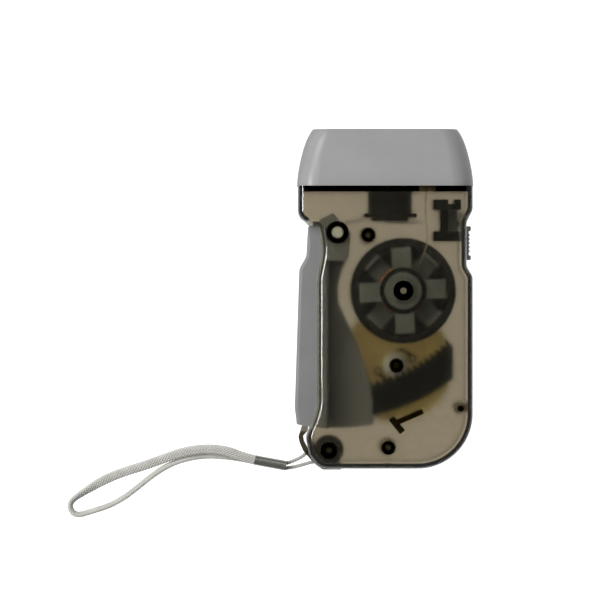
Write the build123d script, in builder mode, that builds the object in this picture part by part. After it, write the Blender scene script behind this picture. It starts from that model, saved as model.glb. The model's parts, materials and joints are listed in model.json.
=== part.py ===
from build123d import *
import os
from math import acos, ceil, cos, degrees, pi, radians, sin, sqrt, tan

# Squeeze-lever dynamo flashlight, lying on its back with its wrist lanyard laid out beside it.
# Millimetres. +X is to the right of the front cover, +Y towards the lamp, +Z out of the front cover.
# The origin is on the flat back of the rear cover. The rear cover fills the lower half of the depth.

# ---------------------------------------------------------------- driving dimensions
body_width = 54.0
body_above = 35.0          # from the origin up to the head's joint
body_below = 52.4          # from the origin down to the foot of the case
body_depth = 28.0
wall = 1.8
edge_round = 2.4           # front and back edges of the case
corner_round = 17.0        # lower right corner of the case
shaft_gap = 0.05           # radial clearance of a turning fit
seat_gap = 0.02            # radial clearance of a fixed fit

half_width = body_width / 2
part_plane = body_depth / 2
front_inside = body_depth - wall

# Gear train: an internal sector drives a pinion, whose large gear drives the rotor's pinion.
sector_teeth = 144
pinion_teeth = 9
drive_module = 2 / 3
gear_teeth = 72
rotor_teeth = 21
rotor_module = 0.5
pressure_angle = radians(20)
backlash = 0.13            # taken off each tooth at the pitch circle
drive_direction = -66.2    # degrees, from the lever's pivot to the gear shaft
rotor_direction = 84.6     # degrees, from the gear shaft to the rotor shaft
sector_pitch_radius = sector_teeth * drive_module / 2
pinion_pitch_radius = pinion_teeth * drive_module / 2
gear_pitch_radius = gear_teeth * rotor_module / 2
rotor_pitch_radius = rotor_teeth * rotor_module / 2

# Layers above the back of the case.
gear_low = 3.2
gear_thick = 4.0
sector_low = gear_low + gear_thick + 1.1
sector_thick = 3.0
plate_low = sector_low + sector_thick
plate_thick = 2.0
flywheel_low = gear_low + gear_thick + 1.2
flywheel_height = 11.2
flywheel_radius = 16.4

# Shafts, posts and screws.
pivot_radius = 1.9
gear_shaft_radius = 0.9
rotor_shaft_radius = 1.05
boss_radius = 2.17
stator_post_radius = 3.1
latch_post_radius = 2.7
screw_radius = 0.8
screw_head_radius = 1.75
screw_head_height = 1.3
screw_recess = 3.0

# Squeeze lever.
lever_margin = 5.0         # from the case's front and back to the lever
lever_reach = 60.7         # from the pivot to the lever's free end
lever_skin = 1.8
lever_hub_radius = 3.4
handle_round = 1.1
lever_low = lever_margin
lever_high = body_depth - lever_margin
hub_top = plate_low + plate_thick + 2.0   # the front cover's pivot boss reaches down to the lever's hub

# Head.
head_length = 17.6
head_wall = 1.8
lens_thick = 1.0
lens_dome = 0.9
neck_length = 4.3
lamp_spacing = 12.6
lamp_count = 3
lamp_radius = 2.45

# Battery.
cell_radius = 5.8
cell_thick = 4.1
cell_count = 3
holder_wall = 1.05

# Slide switch.
switch_travel = 2.0
knob_length = 10.5
knob_proud = 1.45

# Lanyard.
loop_diameter = 2.4
string_diameter = 1.2
crimp_length = 10.0
crimp_width = 3.0
crimp_height = 5.2


def polar(centre, radius, angle):
    """The point at that radius and angle, in degrees, round a centre."""
    return (centre[0] + radius * cos(radians(angle)), centre[1] + radius * sin(radians(angle)))


pivot = (-half_width + 12.27, 20.6)
gear_axis = polar(pivot, sector_pitch_radius - pinion_pitch_radius, drive_direction)
rotor_axis = polar(gear_axis, gear_pitch_radius + rotor_pitch_radius, rotor_direction)
latch_post = (-half_width + 9.6, -body_below + 5.6)
screw_places = [(-half_width + 21.7, 19.8), (-half_width + 27.93, -body_below + 6.5), latch_post]

MIN_ALIGN = (Align.CENTER, Align.CENTER, Align.MIN)


def post(centre, radius, low, high, mode=Mode.ADD):
    """A round post, or hole, along Z inside the current part."""
    with Locations((centre[0], centre[1], low)):
        Cylinder(radius, high - low, align=MIN_ALIGN, mode=mode)


def block(low, high, mode=Mode.ADD):
    """A box between two corners inside the current part."""
    size = [b - a for a, b in zip(low, high)]
    with Locations(tuple(low)):
        Box(*size, align=(Align.MIN, Align.MIN, Align.MIN), mode=mode)


def save(part, name):
    part.label = name
    export_step(part, f"parts/{name}.step")


# ---------------------------------------------------------------- outlines of the teeth
def involute(angle):
    return tan(angle) - angle


def tooth_half_angle(radius, teeth, module, thinning):
    """Half the angle of a tooth at a radius, for a tooth thinned at the pitch circle."""
    pitch_radius = teeth * module / 2
    base_radius = pitch_radius * cos(pressure_angle)
    at_pitch = pi / (2 * teeth) - thinning / (2 * pitch_radius)
    leaning = acos(min(1, base_radius / max(radius, base_radius)))
    return at_pitch + involute(pressure_angle) - involute(leaning)


def gear_points(centre, teeth, module, flank_radii, first_angle):
    """The corners of an external gear, with a tooth at the first angle."""
    points = []
    for tooth in range(teeth):
        middle = first_angle + 360 * tooth / teeth
        spans = [degrees(tooth_half_angle(r, teeth, module, backlash)) for r in flank_radii]
        points += [polar(centre, r, middle - s) for r, s in zip(flank_radii, spans)]
        points += [polar(centre, r, middle + s) for r, s in zip(reversed(flank_radii), reversed(spans))]
    return points


# ---------------------------------------------------------------- outlines of the case
def case_corners():
    """Corners of the case, with the lever's recess on the left and the switch's on the right."""
    left, right, foot = -half_width, half_width, -body_below
    return [
        ((left, body_above), 0),
        ((left, 25.6), 3.6),
        ((left + 4.2, 22.4), 1.2),
        ((left + 6.4, 22.4), 1.2),
        ((left + 7.5, 14.5), 9.0),
        ((left + 5.9, 6.5), 12.0),
        ((left + 5.9, foot + 18.0), 14.0),
        ((left + 2.4, foot + 9.6), 3.2),
        ((left + 3.4, foot + 4.4), 4.5),
        ((left + 6.6, foot), 5.0),
        ((right, foot), corner_round),
        ((right, 7.0), 3.0),
        ((right - 1.9, 10.2), 3.0),
        ((right - 1.9, 23.7), 3.0),
        ((right, 27.6), 3.0),
        ((right, body_above), 0),
    ]


def case_outline(inset):
    corners = case_corners()
    with BuildSketch() as outline:
        with BuildLine():
            FilletPolyline([c[0] for c in corners], radius=[c[1] for c in corners], close=True)
        make_face()
        if inset:
            offset(amount=-inset)
    return outline.sketch


case_face = case_outline(0)
cavity_face = case_outline(wall)
neck_half_width = half_width - 2.5
neck_half_depth = part_plane - 2.4
neck_wall = 1.4
battery_axis_x = 1.6
holder_radius = cell_radius + holder_wall + 0.05
wire_gate = (13.0, 5.0)    # middle and width along X of the opening for the wires

slot_low = lever_low - 0.4
slot_high = lever_high + 0.4
slot_reach = lever_reach + 0.9
slot_edge = -half_width + 9.8
slot_top = 22.4
head_sweep = 9.9           # radius that the lever's head needs round its pivot
latch_low = part_plane - 2.4
latch_high = part_plane + 2.4
nose_low = plate_low + plate_thick + 0.3   # the latch's nose passes in front of the lever's inner plate
latch_ring_radius = 4.65
latch_window = (118, 312)  # degrees round the latch post
string_window = (160, 285)
string_gate = (3.2, 8.2)   # Z range of the lanyard's slot
corner_reach = 14.0
switch_window = ((7.9, 25.8), (part_plane - 5.2, part_plane + 5.2))  # Y range and Z range


def fan(centre, radius, first, last):
    """Corners of a fan-shaped area, wider than a quarter turn where it has to be."""
    steps = ceil((last - first) / 60)
    outside = radius / cos(radians((last - first) / steps / 2))
    rim = [polar(centre, outside, first + (last - first) * i / steps) for i in range(steps + 1)]
    return [centre] + rim


def cut_openings():
    """Cuts the lever's slot, the latch's window and the switch's window out of the current shell."""
    with Locations((0, 0, 0)):
        extrude(lever_slot_face, amount=slot_high - slot_low, mode=Mode.SUBTRACT)
        extrude(latch_window_face, amount=latch_high - latch_low + 0.8, mode=Mode.SUBTRACT)
    (y_low, y_high), (z_low, z_high) = switch_window
    block((half_width - 5, y_low, z_low), (half_width + 1, y_high, z_high), Mode.SUBTRACT)


def add_neck(away_low, away_high):
    """Adds this cover's half of the neck that the head slides over, and opens the collar."""
    with BuildSketch(Plane.XZ.offset(-body_above)) as neck:
        with Locations((0, part_plane)):
            RectangleRounded(2 * neck_half_width, 2 * neck_half_depth, 4)
            RectangleRounded(2 * (neck_half_width - neck_wall), 2 * (neck_half_depth - neck_wall), 2.8,
                             mode=Mode.SUBTRACT)
    extrude(neck.sketch, amount=-neck_length)
    block((-half_width, body_above, away_low), (half_width, body_above + neck_length, away_high),
          Mode.SUBTRACT)
    # openings for the battery and the wires
    with BuildSketch(Plane.XZ.offset(-body_above - 0.5)) as gates:
        with Locations((battery_axis_x, part_plane)):
            Circle(holder_radius + 0.3)
        with Locations((wire_gate[0], part_plane)):
            Rectangle(wire_gate[1], 2 * (neck_half_depth - 3))
    extrude(gates.sketch, amount=wall + 1, mode=Mode.SUBTRACT)


with BuildSketch(Plane.XY.offset(slot_low)) as lever_slot:
    with Locations(pivot):
        Circle(slot_reach)
    with Locations((slot_edge, slot_top)):
        Rectangle(60, 90, align=(Align.MAX, Align.MAX), mode=Mode.INTERSECT)
    with Locations(pivot):
        Circle(head_sweep)
lever_slot_face = lever_slot.sketch

with BuildSketch(Plane.XY.offset(latch_low - 0.4)) as latch_opening:
    with BuildLine():
        Polyline(fan(latch_post, corner_reach, *latch_window), close=True)
    make_face()
    with Locations(latch_post):
        Circle(latch_ring_radius - 1.6, mode=Mode.SUBTRACT)
latch_window_face = latch_opening.sketch

os.makedirs("parts", exist_ok=True)

# ---------------------------------------------------------------- front cover
with BuildPart() as front_cover:
    with BuildSketch(Plane.XY.offset(part_plane)):
        add(case_face)
    extrude(amount=part_plane)
    rim_edges = front_cover.faces().sort_by(Axis.Z)[-1].edges()
    fillet([e for e in rim_edges if e.center().Y < body_above - 0.1], edge_round)
    with BuildSketch(Plane.XY.offset(part_plane)):
        add(cavity_face)
    extrude(amount=part_plane - wall, mode=Mode.SUBTRACT)
    add_neck(0, part_plane)
    cut_openings()
    # bosses and posts
    post(screw_places[0], boss_radius, part_plane, front_inside)
    post(screw_places[1], boss_radius, part_plane, front_inside)
    post(latch_post, latch_post_radius, part_plane, front_inside)
    post(pivot, lever_hub_radius, hub_top + 0.3, front_inside)
    post(gear_axis, boss_radius, plate_low + plate_thick, front_inside)
    post(rotor_axis, stator_post_radius, flywheel_low + 2.4, front_inside)
    post((half_width - 3.75, -33.8), 0.95, part_plane - 3, front_inside)
    for place in screw_places:
        post(place, screw_radius + seat_gap, part_plane - 1, front_inside - 4, Mode.SUBTRACT)
    post(pivot, pivot_radius + seat_gap, hub_top, front_inside, Mode.SUBTRACT)
    post(gear_axis, gear_shaft_radius + seat_gap, plate_low, front_inside - 6, Mode.SUBTRACT)
    post(rotor_axis, rotor_shaft_radius + seat_gap, flywheel_low, front_inside - 1, Mode.SUBTRACT)
    # T-shaped rib above the foot
    with BuildSketch(Plane.XY.offset(part_plane + 1)):
        with Locations(Location((7.6, -36.4, 0), (0, 0, 23.7))):
            Rectangle(8.6, 1.5)
        with Locations(Location((3.6, -39.0, 0), (0, 0, -51.5))):
            Rectangle(5.4, 1.9)
    extrude(amount=front_inside - part_plane - 1)
save(front_cover.part, "front_cover")

# ---------------------------------------------------------------- rear cover
with BuildPart() as rear_cover:
    with BuildSketch(Plane.XY):
        add(case_face)
    extrude(amount=part_plane)
    back_edges = rear_cover.faces().sort_by(Axis.Z)[0].edges()
    fillet([e for e in back_edges if e.center().Y < body_above - 0.1], edge_round)
    with BuildSketch(Plane.XY.offset(wall)):
        add(cavity_face)
    extrude(amount=part_plane - wall, mode=Mode.SUBTRACT)
    add_neck(part_plane, body_depth)
    cut_openings()
    # slot for the lanyard, under the latch's window
    with BuildSketch(Plane.XY.offset(string_gate[0])):
        with BuildLine():
            Polyline(fan(latch_post, corner_reach, *string_window), close=True)
        make_face()
        with Locations(latch_post):
            Circle(latch_post_radius + 0.2, mode=Mode.SUBTRACT)
    extrude(amount=string_gate[1] - string_gate[0], mode=Mode.SUBTRACT)
    # bosses and posts
    for place in screw_places:
        post(place, latch_post_radius, wall, part_plane)
        post(place, screw_radius + 0.2, 1, part_plane, Mode.SUBTRACT)
        post(place, screw_head_radius + 0.2, 0, screw_recess, Mode.SUBTRACT)
    post(pivot, lever_hub_radius, wall, lever_low - 0.3)
    post(pivot, pivot_radius + seat_gap, 0.8, lever_low, Mode.SUBTRACT)
    post(gear_axis, boss_radius, wall, gear_low - 0.2)
    post(gear_axis, gear_shaft_radius + seat_gap, 0.8, gear_low, Mode.SUBTRACT)
    post(rotor_axis, boss_radius + 0.3, wall, gear_low - 0.6)
    post(rotor_axis, rotor_shaft_radius + seat_gap, 0.8, gear_low, Mode.SUBTRACT)
    post((half_width - 3.75, -33.8), 1.9, wall, part_plane - 1)
    post((half_width - 3.75, -33.8), 0.97, part_plane - 5, part_plane, Mode.SUBTRACT)
save(rear_cover.part, "rear_cover")

# ---------------------------------------------------------------- head
# Each section: height above the joint, how far each side leans in, and its corner radius.
head_sections = [(0.0, 0.0, 6.5), (6.2, 0.7, 6.5), (11.2, 1.9, 6.3), (15.2, 3.4, 6.0),
                 (head_length, 4.9, 5.6)]
head_flare = 0.3           # how far the head stands out past the case's sides
lens_seat = head_length - 0.65
lens_half_width = half_width + head_flare - 4.75 - head_wall - 0.25
lens_half_depth = part_plane - 4.75 * 0.62 - head_wall - 0.25

with BuildPart() as head_bezel:
    for height, lean, radius in head_sections:
        with BuildSketch(Plane.XZ.offset(-(body_above + height))):
            with Locations((0, part_plane)):
                RectangleRounded(2 * (half_width + head_flare - lean), 2 * (part_plane - 0.05 - lean * 0.62),
                                 radius)
    loft()
    for height, lean, radius in head_sections:
        with BuildSketch(Plane.XZ.offset(-(body_above + min(height, lens_seat)))):
            with Locations((0, part_plane)):
                RectangleRounded(2 * (half_width + head_flare - lean - head_wall),
                                 2 * (part_plane - 0.05 - lean * 0.62 - head_wall), radius - head_wall / 2)
    loft(mode=Mode.SUBTRACT)
    with BuildSketch(Plane.XZ.offset(-(body_above + lens_seat - 0.5))):
        with Locations((0, part_plane)):
            RectangleRounded(2 * (lens_half_width - 0.8), 2 * (lens_half_depth - 0.8), 3.6)
    extrude(amount=-3, mode=Mode.SUBTRACT)
save(head_bezel.part, "head_bezel")

lens_back = body_above + lens_seat - lens_thick - 0.1
with BuildPart() as lens:
    with BuildSketch(Plane.XZ.offset(-lens_back)):
        with Locations((0, part_plane)):
            RectangleRounded(2 * lens_half_width, 2 * lens_half_depth, 4.2)
    extrude(amount=-lens_thick)
    with BuildSketch(Plane.XZ.offset(-(lens_back + lens_thick))):
        with Locations((0, part_plane)):
            RectangleRounded(2 * (lens_half_width - 1.0), 2 * (lens_half_depth - 1.0), 3.4)
    extrude(amount=-lens_dome)
    fillet(lens.faces().sort_by(Axis.Y)[-1].edges(), 0.45)
save(lens.part, "lens")

gasket_thick = 0.4
with BuildPart() as lens_gasket:
    with BuildSketch(Plane.XZ.offset(-(lens_back - gasket_thick))):
        with Locations((0, part_plane)):
            RectangleRounded(2 * lens_half_width, 2 * lens_half_depth, 4.2)
            RectangleRounded(2 * (lens_half_width - 1.4), 2 * (lens_half_depth - 1.4), 3.0,
                             mode=Mode.SUBTRACT)
    extrude(amount=-gasket_thick)
save(lens_gasket.part, "lens_gasket")

board_low = body_above + neck_length + 0.1
board_thick = 1.5
board_top = board_low + board_thick
lamp_places = [(i - (lamp_count - 1) / 2) * lamp_spacing for i in range(lamp_count)]
lamp_base = board_top + 0.5
lamp_flange = 1.0
lamp_top = lens_back - gasket_thick - 0.5
cup_mouth = 6.0
reflector_top = lens_back - gasket_thick
reflector_low = lamp_base + lamp_flange + 0.1

with BuildPart() as reflector:
    with BuildSketch(Plane.XZ.offset(-(reflector_top - 1.2))):
        with Locations((0, part_plane)):
            RectangleRounded(2 * (lens_half_width - 0.3), 2 * (lens_half_depth - 0.3), 4)
    extrude(amount=-1.2)
    with BuildSketch(Plane.XZ.offset(-reflector_low)):
        with Locations((0, part_plane)):
            RectangleRounded(2 * (lens_half_width - 1.8), 2 * (lens_half_depth - 1.2), 4)
    extrude(amount=-(reflector_top - 1.2 - reflector_low))
    for lamp_x in lamp_places:
        with BuildSketch(Plane.YZ.offset(lamp_x)) as cup_profile:
            with BuildLine():
                Line((reflector_low - 0.5, part_plane), (reflector_top + 0.01, part_plane))
                Line((reflector_top + 0.01, part_plane), (reflector_top + 0.01, part_plane + cup_mouth))
                ThreePointArc((reflector_top + 0.01, part_plane + cup_mouth),
                              (reflector_low + 2.9, part_plane + 4.5),
                              (reflector_low + 0.8, part_plane + lamp_radius + 0.15))
                Line((reflector_low + 0.8, part_plane + lamp_radius + 0.15),
                     (reflector_low - 0.5, part_plane + lamp_radius + 0.15))
                Line((reflector_low - 0.5, part_plane + lamp_radius + 0.15),
                     (reflector_low - 0.5, part_plane))
            make_face()
        revolve(axis=Axis((lamp_x, 0, part_plane), (0, 1, 0)), mode=Mode.SUBTRACT)
save(reflector.part, "reflector")

with BuildPart() as led_lamps:
    for lamp_x in lamp_places:
        with BuildSketch(Plane.YZ.offset(lamp_x)):
            with BuildLine():
                Line((lamp_base, part_plane), (lamp_top, part_plane))
                RadiusArc((lamp_top, part_plane), (lamp_top - lamp_radius, part_plane + lamp_radius),
                          lamp_radius)
                Polyline((lamp_top - lamp_radius, part_plane + lamp_radius),
                         (lamp_base + lamp_flange, part_plane + lamp_radius),
                         (lamp_base + lamp_flange, part_plane + lamp_radius + 0.4),
                         (lamp_base, part_plane + lamp_radius + 0.4),
                         (lamp_base, part_plane))
            make_face()
        revolve(axis=Axis((lamp_x, 0, part_plane), (0, 1, 0)))
save(led_lamps.part, "led_lamps")

lead_half = 0.25
with BuildPart() as led_leads:
    for lamp_x in lamp_places:
        for side in (-1.27, 1.27):
            block((lamp_x + side - lead_half, board_low, part_plane - lead_half),
                  (lamp_x + side + lead_half, lamp_base, part_plane + lead_half))
save(led_leads.part, "led_leads")

with BuildPart() as led_board:
    with BuildSketch(Plane.XZ.offset(-board_low)):
        with Locations((0, part_plane)):
            RectangleRounded(2 * (neck_half_width - 0.5), 2 * (neck_half_depth - 0.6), 3.4)
        for lamp_x in lamp_places:
            with Locations((lamp_x - 1.27, part_plane), (lamp_x + 1.27, part_plane)):
                Rectangle(2 * lead_half + 0.1, 2 * lead_half + 0.1, mode=Mode.SUBTRACT)
    extrude(amount=-board_thick)
save(led_board.part, "led_board")

# four rectifier diodes stand across the back of the board, to the left of the battery
diode_radius = 1.0
last_diode = battery_axis_x - holder_radius - 0.9 - diode_radius
diode_places = [last_diode - 11.8, last_diode - 9.0, last_diode - 2.8, last_diode]
with BuildPart() as board_parts:
    for diode_x in diode_places:
        with Locations((diode_x, board_low - 1.1, part_plane)):
            Cylinder(diode_radius, 4.4)
        with Locations((diode_x, board_low - 1.1, part_plane)):
            Cylinder(0.27, 8.0)
        for end in (-1, 1):
            block((diode_x - 0.27, board_low - 1.1, part_plane + end * 4.0 - 0.27),
                  (diode_x + 0.27, board_low, part_plane + end * 4.0 + 0.27))
save(board_parts.part, "board_parts")

# ---------------------------------------------------------------- battery
stack_low = board_low - 0.45 - cell_count * cell_thick
flange_low = stack_low - 1.35
flange_thick = 1.1
flange_half = 8.1
flange_half_depth = part_plane - wall - 0.2   # the covers hold the flange between them
cap_low = flange_low - 1.2
cap_half = 5.7

with BuildPart() as battery_holder:
    with BuildSketch(Plane.XZ.offset(-(flange_low + flange_thick))):
        with Locations((battery_axis_x, part_plane)):
            Circle(holder_radius)
    extrude(amount=-(board_low - 0.5 - flange_low - flange_thick))
    with BuildSketch(Plane.XZ.offset(-flange_low)):
        with Locations((battery_axis_x, part_plane)):
            RectangleRounded(2 * flange_half, 2 * flange_half_depth, 1)
    extrude(amount=-flange_thick)
    with BuildSketch(Plane.XZ.offset(-cap_low)):
        with Locations((battery_axis_x, part_plane)):
            RectangleRounded(2 * cap_half, 2 * cap_half, 1)
    extrude(amount=-(flange_low - cap_low))
    with BuildSketch(Plane.XZ.offset(-stack_low)):
        with Locations((battery_axis_x, part_plane)):
            Circle(cell_radius + 0.05)
    extrude(amount=-30, mode=Mode.SUBTRACT)
    block((battery_axis_x - 1.3, cap_low - 1, part_plane - 2.6),
          (battery_axis_x - 0.5, stack_low + 0.1, part_plane + 2.6), Mode.SUBTRACT)
save(battery_holder.part, "battery_holder")

with BuildPart() as button_cells:
    for cell in range(cell_count):
        cell_low = stack_low + 0.02 + cell * cell_thick
        with BuildSketch(Plane.XZ.offset(-cell_low)):
            with Locations((battery_axis_x, part_plane)):
                Circle(cell_radius)
        extrude(amount=-(cell_thick - 0.5))
        with BuildSketch(Plane.XZ.offset(-(cell_low + cell_thick - 0.5))):
            with Locations((battery_axis_x, part_plane)):
                Circle(cell_radius - 1.1)
        extrude(amount=-0.48)
save(button_cells.part, "button_cells")

strip_thick = 0.6
with BuildPart() as battery_contact_lower:
    with BuildSketch(Plane.XY.offset(part_plane - 2.4)):
        with BuildLine():
            FilletPolyline((battery_axis_x - 0.9, stack_low - 0.1), (battery_axis_x - 0.9, cap_low - 0.55),
                           (battery_axis_x + 10.4, cap_low - 0.15), radius=0.5)
        trace(line_width=strip_thick)
    extrude(amount=4.8)
save(battery_contact_lower.part, "battery_contact_lower")

with BuildPart() as battery_contact_upper:
    with BuildSketch(Plane.XZ.offset(-(stack_low + 0.03 + cell_count * cell_thick))):
        with Locations((battery_axis_x, part_plane)):
            Circle(4.2)
    extrude(amount=-0.3)
save(battery_contact_upper.part, "battery_contact_upper")

# ---------------------------------------------------------------- slide switch
right = half_width
bracket_low = part_plane - 4.5
switch_low = part_plane - 3.0
switch_high = part_plane + 3.0
switch_y = (21.1, 27.4)
with BuildPart() as switch_bracket:
    block((right - 12.1, 27.6, bracket_low), (right - 3.7, 30.7, front_inside - 0.1))
    block((right - 10.0, 20.9, bracket_low), (right - 7.5, 27.7, front_inside - 3))
    block((right - 12.1, 17.9, bracket_low), (right - 4.3, 20.9, front_inside - 0.1))
    block((right - 7.6, 29.3, bracket_low), (right - 5.7, 31, front_inside), Mode.SUBTRACT)
    for lead_y in (22.9, 26.0):
        block((right - 10.5, lead_y - 0.35, part_plane - 0.75),
              (right - 7.0, lead_y + 0.35, part_plane + 0.75), Mode.SUBTRACT)
save(switch_bracket.part, "switch_bracket")

with BuildPart() as switch_body:
    block((right - 7.45, switch_y[0], switch_low), (right - 4.4, switch_y[1], switch_high))
save(switch_body.part, "switch_body")

with BuildPart() as switch_terminals:
    for lead_y in (22.9, 26.0):
        block((right - 12.0, lead_y - 0.3, part_plane - 0.7), (right - 7.45, lead_y + 0.3, part_plane + 0.7))
save(switch_terminals.part, "switch_terminals")

window_y, window_z = switch_window
face_x = right - 1.9       # outer face of the recess
neck_y = (15.6, 19.4)
neck_half = 1.5
with BuildPart() as switch_guide_plate:
    block((face_x - 1.3, window_y[0] + 0.1, window_z[0] + 0.1),
          (face_x - 0.05, window_y[1] - 0.1, window_z[1] - 0.1))
    block((face_x - 2, neck_y[0] - switch_travel - 0.2, part_plane - neck_half - 0.3),
          (face_x + 1, neck_y[1] + 0.2, part_plane + neck_half + 0.3), Mode.SUBTRACT)
save(switch_guide_plate.part, "switch_guide_plate")

ridge_count = 5
ridge_radius = 0.42
knob_back = face_x + 0.15
knob_front = knob_back + knob_proud
knob_floor = knob_back + knob_proud * 0.55    # between the ridges
knob_top = 22.6
knob_bottom = knob_top - knob_length
knob_half = 3.4
knob_lip = 1.5
carrier_x = (face_x - 2.05, face_x - 1.45)    # the knob's inner plate, behind the guide plate
carrier_half = 2.6
slider_y = (22.6, 24.2)
slider_half = 1.0
with BuildPart() as switch_knob:
    block((knob_back, knob_bottom, part_plane - knob_half), (knob_floor, knob_top, part_plane + knob_half))
    for lip_low in (knob_bottom, knob_top - knob_lip):
        block((knob_back, lip_low, part_plane - knob_half),
              (knob_front, lip_low + knob_lip, part_plane + knob_half))
    fillet([e for e in switch_knob.edges().filter_by(Axis.Z) if e.center().X > face_x + knob_proud], 0.35)
    ridge_pitch = (knob_length - 2 * knob_lip) / (ridge_count + 1)
    for ridge in range(ridge_count):
        ridge_y = knob_bottom + knob_lip + ridge_pitch * (ridge + 1)
        with Locations((knob_back + knob_proud / 2, ridge_y, part_plane)):
            Cylinder(ridge_radius, 2 * knob_half)
    block((carrier_x[1] - 0.05, neck_y[0], part_plane - neck_half),
          (knob_back + 0.05, neck_y[1], part_plane + neck_half))
    block((carrier_x[0], neck_y[0] - 1.5, part_plane - carrier_half),
          (carrier_x[1], switch_y[1] - 0.3, part_plane + carrier_half))
    block((carrier_x[0] - 1, slider_y[0] - 0.2, part_plane - slider_half - 0.2),
          (carrier_x[1] + 0.2, slider_y[1] + 0.2, part_plane + slider_half + 0.2), Mode.SUBTRACT)
save(switch_knob.part, "switch_knob")

with BuildPart() as switch_slider:
    block((right - 4.3, slider_y[0], part_plane - slider_half),
          (right - 3.45, slider_y[1], part_plane + slider_half))
save(switch_slider.part, "switch_slider")

# ---------------------------------------------------------------- squeeze lever
left = -half_width
lever_foot = pivot[1] - lever_reach
strip_edge = left + 9.6
silhouette = [
    ((left + 3.1, 22.3), 0.8),
    ((left + 2.6, 13.2), 4.0),
    ((left + 0.4, 9.4), 4.0),
    ((left - 1.0, lever_foot + 6.5), 5.0),
    ((left - 0.3, lever_foot + 0.6), 2.8),
]
strip_corners = silhouette + [
    ((left + 4, lever_foot - 3), 0),
    ((strip_edge, lever_foot - 3), 0),
    ((strip_edge, 23.4), 0.5),
    ((left + 6.2, 24.3), 1.0),
]
head_corners = [
    (left + 6.2, 24.3), (left + 10.9, 26.6), (left + 16.3, 20.5), (left + 15.8, 13.3), (left + 15.0, 11.9),
    (strip_edge - 1, 11.9), (left + 4.5, 11.9), (left + 3.4, 21.8),
]
plate_corners = [
    (left + 16.3, 20.5), (left + 15.8, 13.3), (left + 15.0, 11.9), (left + 13.4, 8.2), (left + 12.5, 4.0),
    (left + 12.5, -0.8), (left + 14.8, -6.0),
    (left + 18.8, -14.6), (left + 21.4, -23.3), (left + 22.7, -27.3), (left + 23.9, lever_foot - 3),
    (strip_edge - 1, lever_foot - 3), (strip_edge - 1, 11.0), (left + 6.2, 24.3), (left + 10.9, 26.6),
]
stake_angles = (-79.0, -86.0)
stake_radius = 1.0
ring_radius = sector_pitch_radius + 5.4   # radius of the stakes round the pivot
spring_wire = 0.7
spring_radius = 2.75
spring_low = lever_low + 0.35
pocket_foot = lever_foot + lever_skin + 0.5
pocket_top = 22.0          # the spring's end leg lies in the open side of the strip up to here
latch_pocket = ((left + 1.1, left + 4.9), (lever_foot - 1, lever_foot + 2.6))

with BuildPart() as lever:
    with BuildSketch(Plane.XY.offset(lever_low)):
        with BuildLine():
            FilletPolyline([c[0] for c in strip_corners], radius=[c[1] for c in strip_corners], close=True)
        make_face()
        with Locations(pivot):
            Circle(lever_reach, mode=Mode.INTERSECT)
    extrude(amount=lever_high - lever_low)
    outer = [e for e in lever.edges() if e.center().X < left + 4.2 and abs(e.tangent_at(0.5).Z) < 0.1]
    outer = [e for e in outer if e.center().Y > lever_foot + 1.2 and e.center().Y < 21.5]
    fillet(outer, handle_round)
    with BuildSketch(Plane.XY.offset(lever_low + lever_skin)):
        with BuildLine():
            FilletPolyline([c[0] for c in strip_corners], radius=[c[1] for c in strip_corners], close=True)
        make_face()
        with Locations(pivot):
            Circle(lever_reach, mode=Mode.INTERSECT)
        offset(amount=-lever_skin)
        with Locations((strip_edge, pocket_foot)):
            Rectangle(2 * lever_skin + 1, pocket_top - pocket_foot, align=(Align.CENTER, Align.MIN))
    extrude(amount=lever_high - lever_low - 2 * lever_skin, mode=Mode.SUBTRACT)
    # head wall at the front, and the inner plate that carries the sector
    with BuildSketch(Plane.XY.offset(lever_high - lever_skin)):
        with BuildLine():
            Polyline(head_corners, close=True)
        make_face()
    extrude(amount=lever_skin)
    with BuildSketch(Plane.XY.offset(plate_low)):
        with BuildLine():
            Polyline(plate_corners, close=True)
        make_face()
        with Locations(pivot):
            Circle(lever_reach, mode=Mode.INTERSECT)
        with Locations(rotor_axis):
            Circle(flywheel_radius + 3.3, mode=Mode.SUBTRACT)
        with Locations((strip_edge - 3, (10 + lever_foot) / 2)):
            Rectangle(8, 10 - lever_foot - 3)
    extrude(amount=plate_thick)
    post(pivot, lever_hub_radius + 0.9, 0, spring_low + 4.4, Mode.SUBTRACT)
    post(pivot, lever_hub_radius, spring_low + 4.6, hub_top)
    post(pivot, lever_hub_radius + 0.3, hub_top, body_depth, Mode.SUBTRACT)
    post(pivot, pivot_radius + shaft_gap, 0, body_depth, Mode.SUBTRACT)
    for stake in stake_angles:
        post(polar(pivot, ring_radius, stake), stake_radius, sector_low, plate_low + 0.5)
    (pocket_x, pocket_y) = latch_pocket
    block((pocket_x[0], pocket_y[0], nose_low - 0.3), (pocket_x[1], pocket_y[1], latch_high + 0.4),
          Mode.SUBTRACT)
    # lug that the spring pushes on
    post((pivot[0] - spring_radius - spring_wire / 2 - 0.9, 10.2), 0.8, lever_low + 1, plate_low + 0.5)
save(lever.part, "lever")

with BuildPart() as lever_pivot_pin:
    post(pivot, pivot_radius, 0.9, front_inside - 0.1)
    chamfer(lever_pivot_pin.edges().group_by(Axis.Z)[-1], 0.3)
save(lever_pivot_pin.part, "lever_pivot_pin")

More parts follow.
